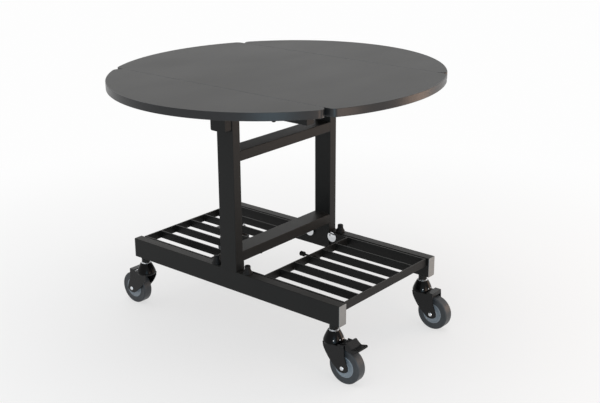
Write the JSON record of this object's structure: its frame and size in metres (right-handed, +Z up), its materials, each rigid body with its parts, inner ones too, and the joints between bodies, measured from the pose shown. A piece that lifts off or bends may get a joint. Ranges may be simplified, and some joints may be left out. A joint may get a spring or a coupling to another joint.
{
  "type": "room service table",
  "caption": "Oval drop-leaf service table on a welded tube frame, with fold-up slatted shelves, swivel casters and wheel brakes.",
  "frame": {"origin": "on the floor, under the centre of the oval top", "axes": "+Z up; X along the base rails, Y across them; the near leaf, the rail with the braked right-hand caster, is on -Y"},
  "size_m": [0.94, 1.006, 0.76],
  "materials": {
    "dark_laminate": "fine matt dark laminate on board, with a dark edge band",
    "black_powder_coat": "black powder coat, fine texture, low sheen",
    "grey_cap": "light grey moulded plastic",
    "black_cap": "black moulded plastic",
    "black_rubber": "matt black rubber",
    "zinc_steel": "bright zinc plate",
    "fork_black": "semi-gloss black lacquer on pressed steel",
    "hub_grey": "blue-grey moulded plastic",
    "tyre_grey": "smooth grey non-marking rubber",
    "black_nylon": "black moulded nylon"
  },
  "bodies": {
    "frame": {"near_rail": "black_powder_coat", "far_rail": "black_powder_coat", "rail_end_caps": "grey_cap", "near_upright": "black_powder_coat", "far_upright": "black_powder_coat", "lower_crossbar": "black_powder_coat", "upper_crossbar": "black_powder_coat", "near_top_bar": "black_powder_coat", "far_top_bar": "black_powder_coat", "top_bar_caps": "black_cap", "pivot_plates": "black_powder_coat", "shelf_pivot_bolts": "zinc_steel", "rail_bumpers": "black_rubber", "support_housings": "black_powder_coat", "support_pins": "zinc_steel", "middle_top": "dark_laminate", "underside_screws": "zinc_steel", "hinge_fixed_plates": "zinc_steel", "hinge_pins": "zinc_steel", "caster_sockets": "black_powder_coat", "caster_stems": "zinc_steel", "caster_crowns": "fork_black"},
    "near_drop_leaf": {"near_leaf": "dark_laminate", "near_hinge_plates": "zinc_steel", "near_leaf_screws": "zinc_steel", "near_leaf_buffers": "black_rubber"},
    "near_arm": {"near_support_arm": "black_powder_coat"},
    "near_roller": {"near_support_roller": "black_nylon"},
    "far_drop_leaf": {"far_leaf": "dark_laminate", "far_hinge_plates": "zinc_steel", "far_leaf_screws": "zinc_steel", "far_leaf_buffers": "black_rubber"},
    "far_arm": {"far_support_arm": "black_powder_coat"},
    "far_roller": {"far_support_roller": "black_nylon"},
    "right_shelf": {"right_shelf_side_bars": "black_powder_coat", "right_shelf_end_bars": "black_powder_coat", "right_shelf_slats": "black_powder_coat", "right_shelf_stop": "black_rubber"},
    "left_shelf": {"left_shelf_side_bars": "black_powder_coat", "left_shelf_end_bars": "black_powder_coat", "left_shelf_slats": "black_powder_coat", "left_shelf_stop": "black_rubber"},
    "near_right_swivel": {"near_right_fork": "fork_black", "near_right_axle": "zinc_steel"},
    "near_right_wheel": {"near_right_hub": "hub_grey", "near_right_tyre": "tyre_grey"},
    "near_right_brake": {"near_right_brake_pedal": "black_nylon"},
    "near_left_swivel": {"near_left_fork": "fork_black", "near_left_axle": "zinc_steel"},
    "near_left_wheel": {"near_left_hub": "hub_grey", "near_left_tyre": "tyre_grey"},
    "far_right_swivel": {"far_right_fork": "fork_black", "far_right_axle": "zinc_steel"},
    "far_right_wheel": {"far_right_hub": "hub_grey", "far_right_tyre": "tyre_grey"},
    "far_left_swivel": {"far_left_fork": "fork_black", "far_left_axle": "zinc_steel"},
    "far_left_wheel": {"far_left_hub": "hub_grey", "far_left_tyre": "tyre_grey"},
    "far_left_brake": {"far_left_brake_pedal": "black_nylon"}
  },
  "joints": [
    {"name": "near_leaf_fold", "type": "hinge", "parent": "frame", "child": "near_drop_leaf", "pos_m": [0, -0.26, 0.7335], "axis": [1, 0, 0], "range_deg": [0, 90]},
    {"name": "near_arm_fold", "type": "hinge", "parent": "frame", "child": "near_arm", "pos_m": [0, -0.243, 0.688], "axis": [1, 0, 0], "range_deg": [0, 110]},
    {"name": "near_roller_spin", "type": "hinge", "parent": "near_arm", "child": "near_roller", "pos_m": [0, -0.35797, 0.7297], "axis": [1, 0, 0], "continuous": true},
    {"name": "far_leaf_fold", "type": "hinge", "parent": "frame", "child": "far_drop_leaf", "pos_m": [0, 0.26, 0.7335], "axis": [-1, 0, 0], "range_deg": [0, 90]},
    {"name": "far_arm_fold", "type": "hinge", "parent": "frame", "child": "far_arm", "pos_m": [0, 0.243, 0.688], "axis": [-1, 0, 0], "range_deg": [0, 110]},
    {"name": "far_roller_spin", "type": "hinge", "parent": "far_arm", "child": "far_roller", "pos_m": [0, 0.35797, 0.7297], "axis": [-1, 0, 0], "continuous": true},
    {"name": "right_shelf_fold", "type": "hinge", "parent": "frame", "child": "right_shelf", "pos_m": [0.045, 0, 0.206], "axis": [0, -1, 0], "range_deg": [0, 90]},
    {"name": "left_shelf_fold", "type": "hinge", "parent": "frame", "child": "left_shelf", "pos_m": [-0.045, 0, 0.206], "axis": [0, 1, 0], "range_deg": [0, 90]},
    {"name": "near_right_swivel_turn", "type": "hinge", "parent": "frame", "child": "near_right_swivel", "pos_m": [0.3705, -0.215, 0.1087], "axis": [0, 0, 1], "continuous": true},
    {"name": "near_right_wheel_roll", "type": "hinge", "parent": "near_right_swivel", "child": "near_right_wheel", "pos_m": [0.4165, -0.215, 0.05], "axis": [0, 1, 0], "continuous": true},
    {"name": "near_right_brake_press", "type": "hinge", "parent": "near_right_swivel", "child": "near_right_brake", "pos_m": [0.4125, -0.215, 0.11], "axis": [0, 1, 0], "range_deg": [0, 12]},
    {"name": "near_left_swivel_turn", "type": "hinge", "parent": "frame", "child": "near_left_swivel", "pos_m": [-0.3705, -0.215, 0.1087], "axis": [0, 0, 1], "continuous": true},
    {"name": "near_left_wheel_roll", "type": "hinge", "parent": "near_left_swivel", "child": "near_left_wheel", "pos_m": [-0.4165, -0.215, 0.05], "axis": [0, 1, 0], "continuous": true},
    {"name": "far_right_swivel_turn", "type": "hinge", "parent": "frame", "child": "far_right_swivel", "pos_m": [0.3705, 0.215, 0.1087], "axis": [0, 0, 1], "continuous": true},
    {"name": "far_right_wheel_roll", "type": "hinge", "parent": "far_right_swivel", "child": "far_right_wheel", "pos_m": [0.4165, 0.215, 0.05], "axis": [0, 1, 0], "continuous": true},
    {"name": "far_left_swivel_turn", "type": "hinge", "parent": "frame", "child": "far_left_swivel", "pos_m": [-0.3705, 0.215, 0.1087], "axis": [0, 0, 1], "continuous": true},
    {"name": "far_left_wheel_roll", "type": "hinge", "parent": "far_left_swivel", "child": "far_left_wheel", "pos_m": [-0.4165, 0.215, 0.05], "axis": [0, 1, 0], "continuous": true},
    {"name": "far_left_brake_press", "type": "hinge", "parent": "far_left_swivel", "child": "far_left_brake", "pos_m": [-0.4125, 0.215, 0.11], "axis": [0, -1, 0], "range_deg": [0, 12]}
  ],
  "couplings": [
    {"joint": "near_arm_fold", "follows": "near_leaf_fold", "ratio": 1.2215},
    {"joint": "far_arm_fold", "follows": "far_leaf_fold", "ratio": 1.2215}
  ]
}
